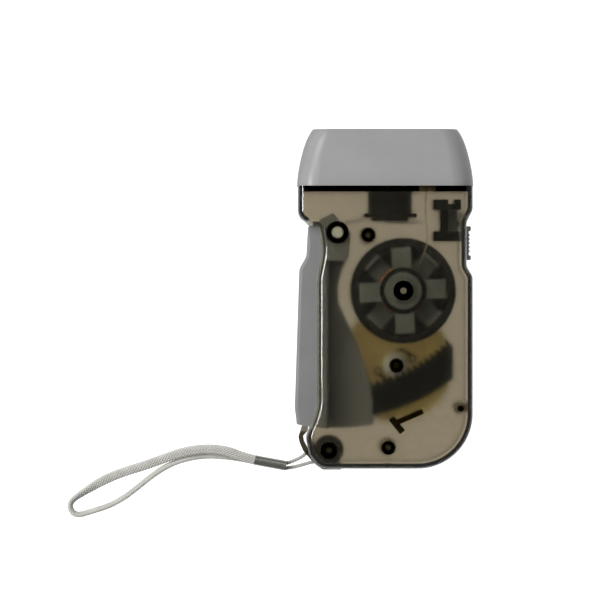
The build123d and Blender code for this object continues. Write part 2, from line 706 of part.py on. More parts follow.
sector_tip = sector_pitch_radius - 0.33
sector_root = sector_pitch_radius + 0.84
sector_outer = sector_pitch_radius + 10.0
sector_ends = (-44.4, -90.5)
space_pitch = 360 / sector_teeth
space_radii = [sector_tip - 0.3, sector_pitch_radius, sector_root]
with BuildPart() as sector_gear:
    with BuildSketch(Plane.XY.offset(sector_low)):
        with BuildLine():
            fan_rim = [polar(pivot, 90, a) for a in (sector_ends[0], -68, sector_ends[1])]
            Polyline(fan_rim + [pivot], close=True)
        make_face()
        with Locations(pivot):
            Circle(sector_outer, mode=Mode.INTERSECT)
            Circle(sector_tip, mode=Mode.SUBTRACT)
        with Locations((half_width - 5.6 + 20, -20)):
            Rectangle(40, 80, mode=Mode.SUBTRACT)
        for space in range(-7, 9):
            middle = drive_direction + space * space_pitch
            spans = [degrees(tooth_half_angle(r, sector_teeth, drive_module, -backlash)) for r in space_radii]
            low_side = [polar(pivot, r, middle - s) for r, s in zip(space_radii, spans)]
            high_side = [polar(pivot, r, middle + s) for r, s in zip(space_radii, spans)]
            with BuildLine():
                Polyline(low_side + high_side[::-1], close=True)
            make_face(mode=Mode.SUBTRACT)
        for stake in stake_angles:
            with Locations(polar(pivot, ring_radius, stake)):
                Circle(stake_radius + seat_gap, mode=Mode.SUBTRACT)
    extrude(amount=sector_thick)
save(sector_gear.part, "sector_gear")


# ---------------------------------------------------------------- wound wire
def biarc(start, start_way, end, end_way):
    """Adds two tangent arcs to the current line, from one point and direction to another."""
    start, start_way, end, end_way = (Vector(*v) for v in (start, start_way, end, end_way))
    span = end - start
    both = start_way + end_way
    turn = 2 * (1 - start_way.dot(end_way))
    reach = (-span.dot(both) + sqrt(span.dot(both) ** 2 + turn * span.dot(span))) / turn
    middle = (start + start_way * reach + end - end_way * reach) * 0.5
    TangentArc(start, middle, tangent=start_way)
    TangentArc(middle, end, tangent=(end - end_way * reach - middle).normalized())


def helix_point(centre, radius, angle, height):
    x, y = polar(centre, radius, angle)
    return (x, y, height)


def helix_way(radius, angle, pitch):
    rise = pitch / (2 * pi * radius)
    scale = 1 / sqrt(1 + rise * rise)
    return (-sin(radians(angle)) * scale, cos(radians(angle)) * scale, rise * scale)


def wind(centre, radius, first, last, low, pitch):
    """Adds a helix of quarter-turn biarcs to the current line."""
    steps = ceil(abs(last - first) / 90)
    stations = [first + (last - first) * i / steps for i in range(steps + 1)]
    for a, b in zip(stations, stations[1:]):
        biarc(helix_point(centre, radius, a, low + pitch * (a - first) / 360), helix_way(radius, a, pitch),
              helix_point(centre, radius, b, low + pitch * (b - first) / 360), helix_way(radius, b, pitch))


def least_self_gap(line, diameter, turn_length):
    """Least gap between points of a wound wire that are more than half a turn apart along it."""
    count = 240
    wire = Wire(line.edges())
    points = [wire.position_at(i / count) for i in range(count + 1)]
    apart = wire.length / count
    least = 1e9
    for i in range(count + 1):
        for j in range(i + 1, count + 1):
            if (j - i) * apart > turn_length / 2:
                least = min(least, (points[i] - points[j]).length - diameter)
    return least


spring_pitch = 1.2
spring_first = 100
spring_last = 180 + 3 * 360
spring_top = spring_low + spring_pitch * (spring_last - spring_first) / 360
with BuildPart() as lever_spring:
    with BuildLine() as spring_line:
        leg_way = helix_way(spring_radius, spring_first, spring_pitch)
        leg_start = helix_point(pivot, spring_radius, spring_first, spring_low)
        Line(tuple(p - 8.6 * w for p, w in zip(leg_start, leg_way)), leg_start)
        wind(pivot, spring_radius, spring_first, spring_last, spring_low, spring_pitch)
        end_way = helix_way(spring_radius, spring_last, spring_pitch)
        leg_end = helix_point(pivot, spring_radius, spring_last, spring_top)
        Line(leg_end, tuple(p + 11.0 * w for p, w in zip(leg_end, end_way)))
    with BuildSketch(Plane(spring_line.line @ 0, z_dir=spring_line.line % 0)):
        Circle(spring_wire / 2)
    sweep(path=spring_line.line)
save(lever_spring.part, "lever_spring")
print("lever spring: least gap between turns",
      round(least_self_gap(spring_line.line, spring_wire, 2 * pi * spring_radius), 2))

# ---------------------------------------------------------------- drive gear, its pinion and the clutch
web_thick = 1.4
clutch_radius = 7.2
ratchet_radius = 4.2
ratchet_teeth = 12
pawl_low = gear_low + web_thick + 0.1
pawl_high = gear_low + gear_thick - 0.1
gear_tip = gear_pitch_radius + 0.5
gear_root = gear_pitch_radius - 0.65
pawl_pivots = [polar(gear_axis, 5.7, a) for a in (20, 200)]
with BuildPart() as drive_gear:
    with BuildSketch(Plane.XY.offset(gear_low)):
        with BuildLine():
            Polyline(gear_points(gear_axis, gear_teeth, rotor_module, [gear_root, gear_tip], rotor_direction),
                     close=True)
        make_face()
    extrude(amount=gear_thick)
    with BuildSketch(Plane.XY.offset(gear_low + web_thick)):
        with Locations(gear_axis):
            Circle(gear_root - 1.9)
            Circle(clutch_radius + 1.1, mode=Mode.SUBTRACT)
            Circle(clutch_radius)
    extrude(amount=gear_thick, mode=Mode.SUBTRACT)
    for place in pawl_pivots:
        post(place, 0.7, gear_low + web_thick - 0.1, gear_low + gear_thick)
    post(gear_axis, gear_shaft_radius + shaft_gap, 0, body_depth, Mode.SUBTRACT)
save(drive_gear.part, "drive_gear")

pinion_root = pinion_pitch_radius - 0.84
pinion_tip = pinion_pitch_radius + 0.64
pinion_radii = [pinion_root, pinion_pitch_radius * cos(pressure_angle), pinion_pitch_radius,
                (pinion_pitch_radius + pinion_tip) / 2, pinion_tip]
with BuildPart() as drive_pinion:
    with BuildSketch(Plane.XY.offset(pawl_low)):
        with BuildLine():
            ratchet = []
            for tooth in range(ratchet_teeth):
                ratchet.append(polar(gear_axis, ratchet_radius, 360 * tooth / ratchet_teeth))
                ratchet.append(polar(gear_axis, ratchet_radius - 0.8, 360 * tooth / ratchet_teeth + 2))
            Polyline(ratchet, close=True)
        make_face()
    extrude(amount=gear_thick - web_thick)
    with BuildSketch(Plane.XY.offset(pawl_low + gear_thick - web_thick)):
        with BuildLine():
            Polyline(gear_points(gear_axis, pinion_teeth, drive_module, pinion_radii, drive_direction),
                     close=True)
        make_face()
    extrude(amount=sector_low + sector_thick + 0.2 - pawl_low - gear_thick + web_thick)
    post(gear_axis, gear_shaft_radius + shaft_gap, 0, body_depth, Mode.SUBTRACT)
save(drive_pinion.part, "drive_pinion")

with BuildPart() as clutch_pawls:
    for turn in (20, 200):
        with BuildSketch(Plane.XY.offset(pawl_low)):
            with Locations(polar(gear_axis, 5.7, turn)):
                Circle(1.3)
            with BuildLine():
                Polyline(polar(gear_axis, 6.9, turn + 4), polar(gear_axis, 5.7, turn + 50),
                         polar(gear_axis, ratchet_radius + 0.15, turn + 70), polar(gear_axis, 4.9, turn + 36),
                         polar(gear_axis, 5.0, turn + 6), close=True)
            make_face()
            with Locations(polar(gear_axis, 5.7, turn)):
                Circle(0.7 + shaft_gap, mode=Mode.SUBTRACT)
        extrude(amount=pawl_high - pawl_low)
save(clutch_pawls.part, "clutch_pawls")

with BuildPart() as gear_shaft:
    post(gear_axis, gear_shaft_radius, 0.9, front_inside - 6.1)
save(gear_shaft.part, "gear_shaft")

# ---------------------------------------------------------------- rotor
rim_thick = 1.05
magnet_thick = 1.15
flywheel_web = 1.2
flywheel_hub = 3.6
pinion_stub = 2.3
rotor_tip = rotor_pitch_radius + 0.5
rotor_root = rotor_pitch_radius - 0.65
with BuildPart() as flywheel:
    with BuildSketch(Plane.XY.offset(flywheel_low)):
        with Locations(rotor_axis):
            Circle(flywheel_radius)
    extrude(amount=flywheel_height)
    with BuildSketch(Plane.XY.offset(flywheel_low + flywheel_web)):
        with Locations(rotor_axis):
            Circle(flywheel_radius - rim_thick)
    extrude(amount=flywheel_height, mode=Mode.SUBTRACT)
    post(rotor_axis, flywheel_hub, flywheel_low, flywheel_low + 2.1)
    post(rotor_axis, pinion_stub + seat_gap, 0, body_depth, Mode.SUBTRACT)
save(flywheel.part, "flywheel")

with BuildPart() as ring_magnet:
    with BuildSketch(Plane.XY.offset(flywheel_low + flywheel_web + 0.05)):
        with Locations(rotor_axis):
            Circle(flywheel_radius - rim_thick - seat_gap)
            Circle(flywheel_radius - rim_thick - seat_gap - magnet_thick, mode=Mode.SUBTRACT)
    extrude(amount=flywheel_height - flywheel_web - 0.5)
save(ring_magnet.part, "ring_magnet")

with BuildPart() as rotor_pinion:
    with BuildSketch(Plane.XY.offset(gear_low)):
        with BuildLine():
            Polyline(gear_points(rotor_axis, rotor_teeth, rotor_module,
                                 [rotor_root, rotor_pitch_radius, rotor_tip],
                                 rotor_direction + 180 + 180 / rotor_teeth), close=True)
        make_face()
    extrude(amount=flywheel_low - gear_low - 0.1)
    post(rotor_axis, pinion_stub, flywheel_low - 0.2, flywheel_low + 2.1)
    post(rotor_axis, rotor_shaft_radius + shaft_gap, 0, body_depth, Mode.SUBTRACT)
save(rotor_pinion.part, "rotor_pinion")

with BuildPart() as rotor_shaft:
    post(rotor_axis, rotor_shaft_radius, 0.9, front_inside - 1.1)
    chamfer(rotor_shaft.edges().group_by(Axis.Z)[-1], 0.2)
save(rotor_shaft.part, "rotor_shaft")

# ---------------------------------------------------------------- stator
claw_radius = flywheel_radius - rim_thick - magnet_thick - 0.65
claw_width = 6.0
claw_thick = 1.0
claw_count = 4
stator_hub = 6.4
rear_plate_low = flywheel_low + 2.5
front_plate_low = flywheel_low + flywheel_height + 0.3
front_tilt = 3.0           # the front cross leans by this much
claw_overlap = 1.2         # how far a claw's end stays from the other plate


def claw_plate(low, tilt, claws_low, claws_high):
    """Adds a hub with four arms, whose ends are bent along the axis between two heights."""
    post(rotor_axis, stator_hub, low, low + claw_thick)
    for arm in range(claw_count):
        turn = tilt + 360 * arm / claw_count
        middle = polar(rotor_axis, claw_radius / 2, turn)
        with Locations(Location((middle[0], middle[1], low + claw_thick / 2), (0, 0, turn))):
            Box(claw_radius, claw_width, claw_thick)
        tip = polar(rotor_axis, claw_radius - claw_thick / 2, turn)
        with Locations(Location((tip[0], tip[1], (claws_low + claws_high) / 2), (0, 0, turn))):
            Box(claw_thick, claw_width, claws_high - claws_low)
    post(rotor_axis, stator_post_radius + seat_gap, 0, body_depth, Mode.SUBTRACT)


with BuildPart() as stator_front_plate:
    claw_plate(front_plate_low, front_tilt, rear_plate_low + claw_thick + claw_overlap,
               front_plate_low + claw_thick)
    bends = [e for e in stator_front_plate.edges().group_by(Axis.Z)[-1]
             if (Vector(e.center().X, e.center().Y) - Vector(*rotor_axis)).length > claw_radius - 0.1]
    fillet(bends, claw_thick * 0.6)
save(stator_front_plate.part, "stator_front_plate")

with BuildPart() as stator_rear_plate:
    claw_plate(rear_plate_low, front_tilt + 45, rear_plate_low, front_plate_low - claw_overlap)
save(stator_rear_plate.part, "stator_rear_plate")

bobbin_low = rear_plate_low + claw_thick
bobbin_high = front_plate_low
bobbin_flange = 0.8
bobbin_tube = stator_post_radius + 1.1
core_radius = 6.9
coil_wire = 0.5
coil_low = bobbin_low + bobbin_flange + 0.05
coil_high = bobbin_high - bobbin_flange - 0.05
with BuildPart() as coil_bobbin:
    post(rotor_axis, bobbin_tube, bobbin_low, bobbin_high)
    post(rotor_axis, 7.8, bobbin_low, bobbin_low + bobbin_flange)
    post(rotor_axis, 6.3, bobbin_high - bobbin_flange, bobbin_high)
    post(rotor_axis, stator_post_radius + seat_gap, 0, body_depth, Mode.SUBTRACT)
save(coil_bobbin.part, "coil_bobbin")

coil_pitch = coil_wire + 0.45
coil_turns = int((coil_high - coil_low - coil_wire) / coil_pitch)
coil_line_radius = core_radius + coil_wire / 2 + 0.03
with BuildPart() as coil_winding:
    post(rotor_axis, core_radius, coil_low, coil_high)
    post(rotor_axis, bobbin_tube + seat_gap, 0, body_depth, Mode.SUBTRACT)
    with BuildLine() as coil_line:
        wind(rotor_axis, coil_line_radius, 45, 45 + 360 * coil_turns, coil_low + coil_wire / 2, coil_pitch)
    with BuildSketch(Plane(coil_line.line @ 0, z_dir=coil_line.line % 0)):
        Circle(coil_wire / 2)
    sweep(path=coil_line.line)
save(coil_winding.part, "coil_winding")
print("coil: turns", coil_turns, "least gap between turns",
      round(least_self_gap(coil_line.line, coil_wire, 2 * pi * coil_line_radius), 2))

washer_low = front_plate_low + claw_thick
with BuildPart() as stator_washer:
    post(rotor_axis, 7.25, washer_low, washer_low + 0.35)
    post(rotor_axis, stator_post_radius + seat_gap, 0, body_depth, Mode.SUBTRACT)
save(stator_washer.part, "stator_washer")

with BuildPart() as stator_bush:
    post(rotor_axis, 5.8, washer_low + 0.35, washer_low + 1.15)
    chamfer(stator_bush.edges().group_by(Axis.Z)[-1], 0.25)
    post(rotor_axis, 4.0, washer_low + 0.35, washer_low + 1.8)
    chamfer(stator_bush.edges().group_by(Axis.Z)[-1], 0.2)
    post(rotor_axis, stator_post_radius + seat_gap, 0, body_depth, Mode.SUBTRACT)
save(stator_bush.part, "stator_bush")

washer_thick = 0.35
with BuildPart() as shaft_washers:
    post(gear_axis, 2.0, plate_low + 0.6, plate_low + 0.6 + washer_thick)
    post(gear_axis, gear_shaft_radius + shaft_gap, plate_low, plate_low + 2, Mode.SUBTRACT)
    post(rotor_axis, 2.3, gear_low - 0.5, gear_low - 0.5 + washer_thick)
    post(rotor_axis, rotor_shaft_radius + shaft_gap, 0, gear_low, Mode.SUBTRACT)
save(shaft_washers.part, "shaft_washers")

# ---------------------------------------------------------------- latch
foot = -body_below
nose_end = lever_foot + 0.75
latch_band = [
    (left + 1.2, nose_end), (left + 0.15, foot + 9.6), (left + 0.5, foot + 7.9), (left + 1.6, foot + 5.3),
    (left + 3.6, foot + 2.9), (left + 5.8, foot + 0.7), (left + 7.8, foot - 0.6), (left + 13.4, foot - 0.6),
    (left + 13.4, foot + 0.5), (left + 8.4, foot + 0.7), (left + 6.9, foot + 1.7), (left + 4.9, foot + 3.9),
    (left + 3.0, foot + 6.2), (left + 1.9, foot + 8.4), (left + 1.65, foot + 9.9),
    (left + 3.0, nose_end - 1.6),
    (left + 3.2, nose_end - 0.3),
]
with BuildPart() as latch:
    with BuildSketch(Plane.XY.offset(latch_low)):
        with BuildLine():
            Polyline(latch_band, close=True)
        make_face()
        with Locations(latch_post):
            Circle(latch_ring_radius)
        with BuildLine():
            Polyline((left + 2.7, foot + 6.4), (left + 5.0, foot + 3.6), (left + 8.2, foot + 3.6),
                     (left + 7.0, foot + 6.8), close=True)
        make_face()
        with BuildLine():
            Polyline((left + 7.2, foot + 0.2), (left + 9.8, foot + 0.2), (left + 9.8, foot + 2.5),
                     (left + 6.6, foot + 2.5), close=True)
        make_face()
        with Locations(latch_post):
            Circle(latch_post_radius + 0.08, mode=Mode.SUBTRACT)
    extrude(amount=latch_high - latch_low)
    block((left - 1, nose_end - 1.85, nose_low - latch_high + latch_low), (left + 5, nose_end + 1, nose_low),
          Mode.SUBTRACT)
save(latch.part, "latch")

# ---------------------------------------------------------------- case screws
with BuildPart() as case_screws:
    for place in screw_places:
        post(place, screw_head_radius, screw_recess - screw_head_height, screw_recess - 0.02)
        post(place, screw_radius, screw_recess - 0.1, front_inside - 5)
    for place in screw_places:
        with Locations((place[0], place[1], screw_recess - screw_head_height)):
            Box(2.2, 0.5, 1.0, mode=Mode.SUBTRACT)
            Box(0.5, 2.2, 1.0, mode=Mode.SUBTRACT)
save(case_screws.part, "case_screws")


# ---------------------------------------------------------------- wires, string and wrist loop
def corner_radii(points, name):
    """Arc radii of a cord's corners: 0.45 of the shorter run over the tangent of half the turn."""
    radii = []
    for a, b, c in zip(points, points[1:], points[2:]):
        first, second = Vector(*b) - Vector(*a), Vector(*c) - Vector(*b)
        half_turn = radians(first.get_angle(second)) / 2
        radii.append(0.45 * min(first.length, second.length) / tan(half_turn))
    print(name, "radii", [round(r, 1) for r in radii])
    return radii


def report_cord(line, part, diameter, name):
    length = Wire(line.edges()).length
    share = part.volume / (length * pi * diameter ** 2 / 4)
    print(name, "length", round(length, 1), "volume over section times length", round(share, 4))


lead_wire = 0.3
coil_out = polar(rotor_axis, core_radius + 0.6, 55)
lead_points = [
    (coil_out[0], coil_out[1], coil_high - 0.9),
    (rotor_axis[0] + 5.9, rotor_axis[1] + 10.0, front_plate_low + 1.6),
    (rotor_axis[0] + 7.6, rotor_axis[1] + 15.0, front_plate_low + 2.2),
    (rotor_axis[0] + 7.2, rotor_axis[1] + 20.5, front_plate_low + 1.8),
    (wire_gate[0] - 0.6, body_above - 6.0, part_plane + 5.6),
    (wire_gate[0], body_above - 1.0, part_plane + 3.6),
    (wire_gate[0] + 0.4, board_low - 0.05, part_plane + 2.2),
]
with BuildPart() as coil_lead:
    with BuildLine() as lead_line:
        FilletPolyline(lead_points, radius=corner_radii(lead_points, "coil lead"))
    with BuildSketch(Plane(lead_line.line @ 0, z_dir=lead_line.line % 0)):
        Circle(lead_wire / 2)
    sweep(path=lead_line.line)
save(coil_lead.part, "coil_lead")

# The crimp lies on the table, tilted by crimp_turn, with both strands of each cord in it.
crimp_middle = (-half_width - 8.56, foot + 1.03)
crimp_turn = -10.5
crimp_left = polar(crimp_middle, crimp_length / 2, 180 + crimp_turn)
crimp_right = polar(crimp_middle, crimp_length / 2, crimp_turn)
crimp_way = (cos(radians(crimp_turn)), sin(radians(crimp_turn)))
low_strand = loop_diameter / 2 + 0.08
high_strand = loop_diameter * 1.5 + 0.14
with BuildPart() as crimp_sleeve:
    with BuildSketch(Plane((*crimp_left, crimp_height / 2), x_dir=(-crimp_way[1], crimp_way[0], 0),
                           z_dir=(*crimp_way, 0))):
        RectangleRounded(crimp_width, crimp_height, 1.2)
    extrude(amount=crimp_length)
save(crimp_sleeve.part, "crimp_sleeve")

loop_points = [
    (*crimp_left, high_strand),
    (*polar(crimp_left, 4.4, 180 + crimp_turn - 4), high_strand + 0.05),
    (-48.8, -47.6, high_strand + 0.1),
    (-55.1, -46.8, high_strand + 0.1),
    (-62.4, -47.7, high_strand - 0.1),
    (-69.0, -50.0, 3.0),
    (-75.3, -52.3, 1.9),
    (-82.0, -54.3, 1.35),
    (-88.4, -57.0, 1.3),
    (-94.0, -60.4, 1.3),
    (-98.1, -63.2, 1.3),
    (-98.62, -65.18, 1.3),
    (-97.71, -67.02, 1.3),
    (-95.82, -67.81, 1.3),
    (-92.2, -66.7, 1.3),
    (-86.3, -64.9, 1.3),
    (-81.4, -62.2, 1.3),
    (-77.5, -59.2, 1.3),
    (-73.6, -56.0, 1.3),
    (-69.2, -52.9, 1.3),
    (-63.9, -50.5, 1.3),
    (-57.4, -49.2, 1.3),
    (-50.6, -49.0, low_strand),
    (*polar(crimp_left, 4.6, 180 + crimp_turn + 2), low_strand),
    (*crimp_left, low_strand),
]
with BuildPart() as wrist_loop:
    with BuildLine() as loop_line:
        FilletPolyline(loop_points, radius=corner_radii(loop_points, "wrist loop"))
    with BuildSketch(Plane(loop_line.line @ 0, z_dir=loop_line.line % 0)):
        Circle(loop_diameter / 2)
    sweep(path=loop_line.line)
save(wrist_loop.part, "wrist_loop")
report_cord(loop_line.line, wrist_loop.part, loop_diameter, "wrist loop")

string_ring = latch_post_radius + string_diameter / 2 + 0.2
string_points = [
    (*polar(crimp_right, 0.8, 90 + crimp_turn), 2.1),
    (left - 1.0, foot + 1.75, 2.4),
    (left + 1.9, foot + 3.3, 3.9),
    (left + 4.3, foot + 6.1, 5.3),
    (*polar(latch_post, string_ring * 1.12, 135), 5.9),
    (*polar(latch_post, string_ring * 1.16, 75), 6.1),
    (*polar(latch_post, string_ring * 1.16, 15), 6.1),
    (*polar(latch_post, string_ring * 1.16, -45), 6.0),
    (*polar(latch_post, string_ring * 1.10, -105), 5.7),
    (left + 5.0, foot + 1.5, 4.9),
    (left + 1.8, foot + 0.6, 3.6),
    (left - 0.9, foot - 0.25, 2.5),
    (*polar(crimp_right, 0.8, crimp_turn - 90), 2.1),
]
with BuildPart() as lanyard_string:
    with BuildLine() as string_line:
        FilletPolyline(string_points, radius=corner_radii(string_points, "lanyard string"))
    with BuildSketch(Plane(string_line.line @ 0, z_dir=string_line.line % 0)):
        Circle(string_diameter / 2)
    sweep(path=string_line.line)
save(lanyard_string.part, "lanyard_string")
report_cord(string_line.line, lanyard_string.part, string_diameter, "lanyard string")
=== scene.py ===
import json
import math

import bmesh
import bpy
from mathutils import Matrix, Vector


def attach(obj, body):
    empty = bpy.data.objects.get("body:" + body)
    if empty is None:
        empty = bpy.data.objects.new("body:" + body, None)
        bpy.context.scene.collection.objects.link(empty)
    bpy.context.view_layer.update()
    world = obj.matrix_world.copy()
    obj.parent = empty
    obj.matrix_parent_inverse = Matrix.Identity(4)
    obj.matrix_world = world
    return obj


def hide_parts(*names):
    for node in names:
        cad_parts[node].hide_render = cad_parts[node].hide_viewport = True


# Squeeze-lever dynamo flashlight in a smoked clear case, lying on its back on a white table.
# Metres. +X is to the right of the front cover, +Y towards the lamp, +Z out of the front cover.

MM = 0.001

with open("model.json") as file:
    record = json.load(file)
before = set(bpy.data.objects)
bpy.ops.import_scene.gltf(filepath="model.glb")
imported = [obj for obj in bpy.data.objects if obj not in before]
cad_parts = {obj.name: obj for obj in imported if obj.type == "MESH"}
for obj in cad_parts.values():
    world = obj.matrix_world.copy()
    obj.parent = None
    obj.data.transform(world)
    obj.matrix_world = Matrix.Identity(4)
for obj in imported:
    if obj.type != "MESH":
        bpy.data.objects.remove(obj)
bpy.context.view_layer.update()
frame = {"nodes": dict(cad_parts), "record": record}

# ---------------------------------------------------------------- camera
VIEW_WIDTH = 186 * MM          # of the table, across the picture
VIEW_CENTRE = (-26.35 * MM, -0.3 * MM)
CAMERA_HEIGHT = 1.5
SENSOR = 36.0
FOCUS_LEVEL = 20 * MM          # height at which the picture is VIEW_WIDTH across

camera_data = bpy.data.cameras.new("camera")
camera_data.sensor_width = SENSOR
camera_data.lens = SENSOR * (CAMERA_HEIGHT - FOCUS_LEVEL) / VIEW_WIDTH
camera_data.clip_start = 0.05
camera_data.clip_end = 20
camera = bpy.data.objects.new("camera", camera_data)
camera.location = (*VIEW_CENTRE, CAMERA_HEIGHT)
bpy.context.scene.collection.objects.link(camera)
bpy.context.scene.camera = camera

# ---------------------------------------------------------------- routes of the cords
LOOP_WIDTH = 2.9 * MM
LOOP_THICKNESS = 1.6 * MM
LOOP_STEP = 0.26 * MM          # between the rings of a strand
STRING_DIAMETER = 1.2 * MM
STRING_STEP = 0.2 * MM

# Route of the wrist loop, in millimetres: out of the crimp, round its fold and back.
LOOP_ROUTE = [
    (-40.48, -50.46, 3.74), (-44.74, -49.36, 3.79), (-48.8, -47.6, 3.84), (-55.1, -46.8, 3.84),
    (-62.4, -47.7, 3.64), (-69.0, -50.0, 3.0), (-75.3, -52.3, 2.1), (-82.0, -54.3, 1.8),
    (-88.4, -57.0, 1.75), (-94.0, -60.4, 1.75), (-98.1, -63.2, 1.75), (-98.62, -65.18, 1.75),
    (-97.71, -67.02, 1.75), (-95.82, -67.81, 1.75), (-92.2, -66.7, 1.75), (-86.3, -64.9, 1.75),
    (-81.4, -62.2, 1.75), (-77.5, -59.2, 1.75), (-73.6, -56.0, 1.75), (-69.2, -52.9, 1.75),
    (-63.9, -50.5, 1.75), (-57.4, -49.2, 1.7), (-50.6, -49.0, 1.5), (-45.0, -49.46, 1.28),
    (-40.48, -50.46, 1.28),
]
# Route of the string: out of the crimp, through the rear cover's slot, round the latch's post and back.
STRING_ROUTE = [
    (-30.5, -51.49, 2.1), (-28.0, -50.65, 2.4), (-25.1, -49.1, 3.9), (-22.7, -46.3, 5.3),
    (-20.17, -44.03, 5.9), (-16.35, -42.88, 6.1), (-13.48, -45.75, 6.1), (-14.53, -49.67, 6.0),
    (-18.4, -50.52, 5.7), (-22.0, -50.9, 4.9), (-25.2, -51.8, 3.6), (-27.9, -52.65, 2.5),
    (-30.79, -53.07, 2.1),
]


def link(name, mesh):
    piece = bpy.data.objects.new(name, mesh)
    bpy.context.scene.collection.objects.link(piece)
    return piece


def smooth_line(route):
    """Points of the NURBS line that a route in millimetres controls, in metres."""
    data = bpy.data.curves.new("route", "CURVE")
    data.dimensions = "3D"
    data.resolution_u = 16
    spline = data.splines.new("NURBS")
    spline.points.add(len(route) - 1)
    for control, point in zip(spline.points, route):
        control.co = (*(c * MM for c in point), 1)
    spline.order_u = 3
    spline.use_endpoint_u = True
    holder = bpy.data.objects.new("route", data)
    mesh = bpy.data.meshes.new_from_object(holder)
    points = [v.co.copy() for v in mesh.vertices]
    bpy.data.objects.remove(holder)
    bpy.data.curves.remove(data)
    bpy.data.meshes.remove(mesh)
    return points


def even_steps(points, step):
    """The same line as points that lie about a step apart."""
    lengths = [0.0]
    for a, b in zip(points, points[1:]):
        lengths.append(lengths[-1] + (b - a).length)
    count = max(2, round(lengths[-1] / step))
    even, run = [], 0
    for i in range(count + 1):
        at = lengths[-1] * i / count
        while run < len(points) - 2 and lengths[run + 1] < at:
            run += 1
        span = max(lengths[run + 1] - lengths[run], 1e-12)
        even.append(points[run].lerp(points[run + 1], (at - lengths[run]) / span))
    return even, lengths[-1]


def cross_axes(points):
    """For each point of a line that lies nearly level: its sideways and its upward direction."""
    axes = []
    last = len(points) - 1
    for i in range(len(points)):
        way = (points[min(i + 1, last)] - points[max(i - 1, 0)]).normalized()
        side = way.cross(Vector((0, 0, 1))).normalized()
        axes.append((side, side.cross(way)))
    return axes


def add_tube(work, centres, radius, sides):
    """Adds a closed tube round a list of points."""
    rings = []
    for centre, (side, up) in zip(centres, cross_axes(centres)):
        ring = []
        for k in range(sides):
            turn = 2 * math.pi * k / sides
            offset = side * radius * math.cos(turn) + up * radius * math.sin(turn)
            ring.append(work.verts.new(centre + offset))
        rings.append(ring)
    for first, second in zip(rings, rings[1:]):
        for k in range(sides):
            work.faces.new((first[k], first[(k + 1) % sides], second[(k + 1) % sides], second[k]))
    work.faces.new(rings[0][::-1])
    work.faces.new(rings[-1])


def finish_mesh(work, name, smooth=True):
    bmesh.ops.recalc_face_normals(work, faces=work.faces)
    mesh = bpy.data.meshes.new(name)
    work.to_mesh(mesh)
    work.free()
    if smooth:
        mesh.polygons.foreach_set("use_smooth", [True] * len(mesh.polygons))
    return mesh


# ---------------------------------------------------------------- wrist loop and string
BRAID_STRANDS = 8              # in each direction
BRAID_PITCH = 8.0 * MM
BRAID_STRAND_RADIUS = 0.33 * MM
BRAID_WEAVE = 0.13 * MM        # how far a strand passes over and under
BRAID_SIDES = 5                # of a strand's section
EDGE_ANGLE = 78                # degrees
EDGE_FROM, EDGE_BACK = 0.36, 0.86   # shares of the loop's length where it starts to turn, and to turn back
EDGE_BLEND = 0.14              # share of the length that each turn takes


def edge_turn(share):
    """How far the flat braid is turned on edge: flat on its way out, on edge on its way back."""
    rising = min(1, max(0, (share - EDGE_FROM) / EDGE_BLEND))
    falling = min(1, max(0, (share - EDGE_BACK) / EDGE_BLEND))
    turned = rising * rising * (3 - 2 * rising) - falling * falling * (3 - 2 * falling)
    return math.radians(EDGE_ANGLE) * turned


def braided_loop():
    centres, length = even_steps(smooth_line(LOOP_ROUTE), LOOP_STEP)
    axes = cross_axes(centres)
    half_wide = LOOP_WIDTH / 2 - BRAID_STRAND_RADIUS
    half_high = LOOP_THICKNESS / 2 - BRAID_STRAND_RADIUS
    work = bmesh.new()
    for direction in (1, -1):
        for strand in range(BRAID_STRANDS):
            line = []
            for i, (centre, (side, up)) in enumerate(zip(centres, axes)):
                along = length * i / (len(centres) - 1)
                phase = 2 * math.pi * along / BRAID_PITCH
                angle = direction * phase + 2 * math.pi * strand / BRAID_STRANDS
                lift = direction * BRAID_WEAVE * math.cos(BRAID_STRANDS * phase)
                wide = (half_wide + lift) * math.cos(angle)
                high = (half_high + lift) * math.sin(angle)
                turn = edge_turn(along / length)
                line.append(centre + side * (wide * math.cos(turn) - high * math.sin(turn))
                            + up * (wide * math.sin(turn) + high * math.cos(turn)))
            add_tube(work, line, BRAID_STRAND_RADIUS, BRAID_SIDES)
    return link("wrist_loop_braid", finish_mesh(work, "wrist_loop_braid")), centres, length


PLY_COUNT = 3
PLY_PITCH = 3.0 * MM
PLY_SIDES = 8


def plied_string():
    centres, length = even_steps(smooth_line(STRING_ROUTE), STRING_STEP)
    axes = cross_axes(centres)
    ply_radius = STRING_DIAMETER / 4
    work = bmesh.new()
    for ply in range(PLY_COUNT):
        line = []
        for i, (centre, (side, up)) in enumerate(zip(centres, axes)):
            along = length * i / (len(centres) - 1)
            angle = 2 * math.pi * (along / PLY_PITCH + ply / PLY_COUNT)
            offset = STRING_DIAMETER / 2 - ply_radius
            line.append(centre + (side * math.cos(angle) + up * math.sin(angle)) * offset)
        add_tube(work, line, ply_radius, PLY_SIDES)
    return link("lanyard_plies", finish_mesh(work, "lanyard_plies")), centres, length


loop, loop_line, loop_length = braided_loop()
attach(loop, "case")
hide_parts("wrist_loop")
string, string_line, string_length = plied_string()
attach(string, "case")
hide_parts("lanyard_string")


# ---------------------------------------------------------------- materials
def new_material(name):
    material = bpy.data.materials.new(name)
    material.use_nodes = True
    tree = material.node_tree
    shader = tree.nodes["Principled BSDF"]
    return material, tree, shader


